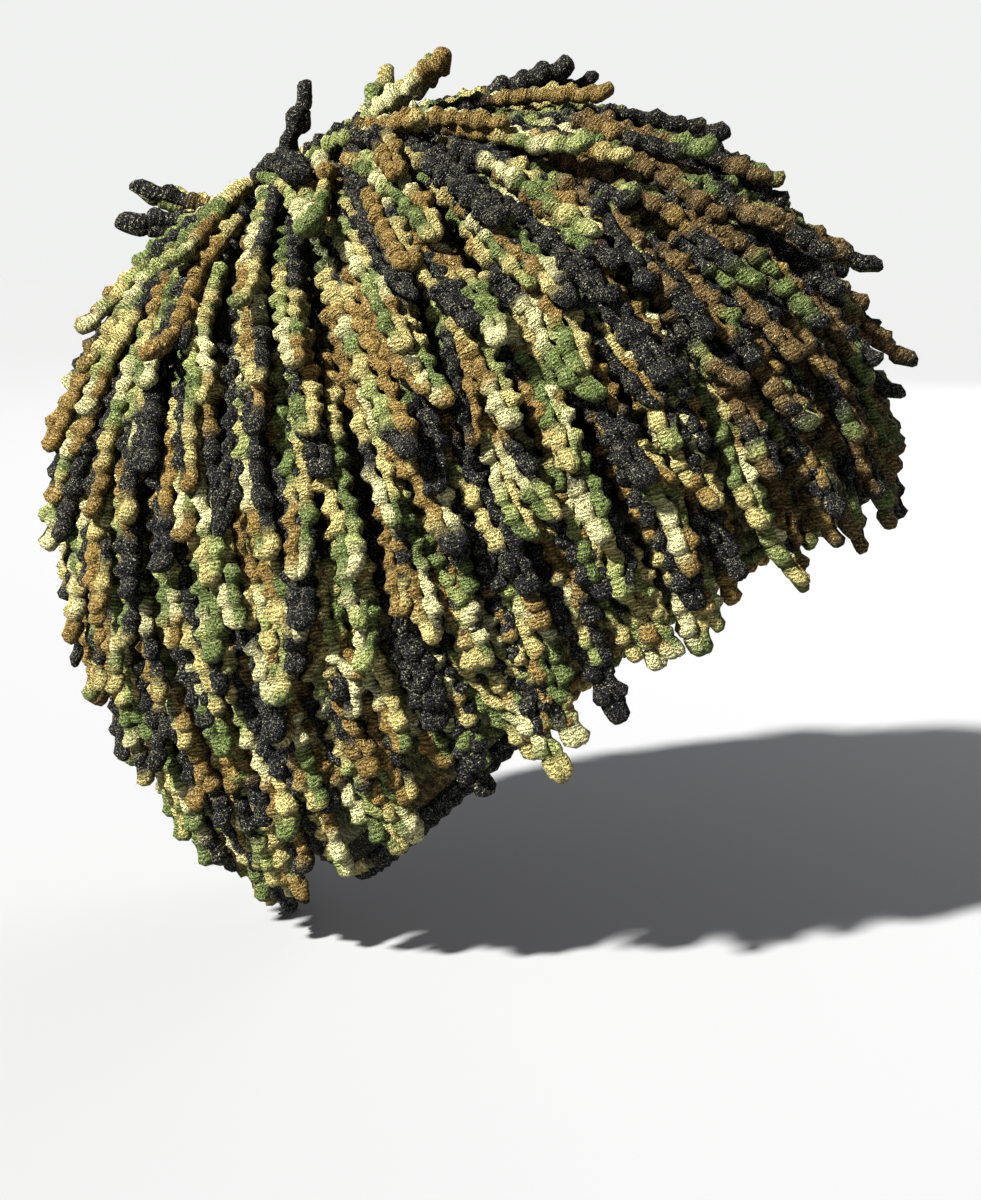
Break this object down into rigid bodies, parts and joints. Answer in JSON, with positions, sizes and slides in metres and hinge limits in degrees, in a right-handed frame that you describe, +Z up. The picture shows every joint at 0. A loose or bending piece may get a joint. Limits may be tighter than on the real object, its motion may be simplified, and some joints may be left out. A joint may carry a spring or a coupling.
{
  "type": "bamileke hat",
  "caption": "Crocheted bamileke hat: a close cap, worn low at the back, covered all over with hanging crocheted fingers of camouflage yarn.",
  "frame": {"origin": "the highest point of the hollow inside the cap, where it sits on the top of the wearer's head", "axes": "+X to the front of the wearer, +Y to the wearer's left, +Z up, with the hat as worn: its crown leans backwards and its rim runs down from the brow to the nape"},
  "size_m": [0.2342, 0.2028, 0.2254],
  "materials": {
    "cap": "matte crochet in a mottled tan, green, brown and black yarn",
    "edge": "matte crocheted round, mottled tan and green",
    "fingers": "matte, slightly fuzzy crocheted cords in a mottled tan, green, brown and black yarn"
  },
  "bodies": {
    "root": {"cap_crown": "cap", "cap_middle": "cap", "cap_lower": "cap", "edge_round": "edge", "finger_tier_1": "fingers", "finger_tier_2": "fingers", "finger_tier_3": "fingers", "finger_tier_4": "fingers", "finger_tier_5": "fingers", "finger_tier_6": "fingers", "finger_tier_7": "fingers", "finger_tier_8": "fingers"}
  },
  "joints": []
}
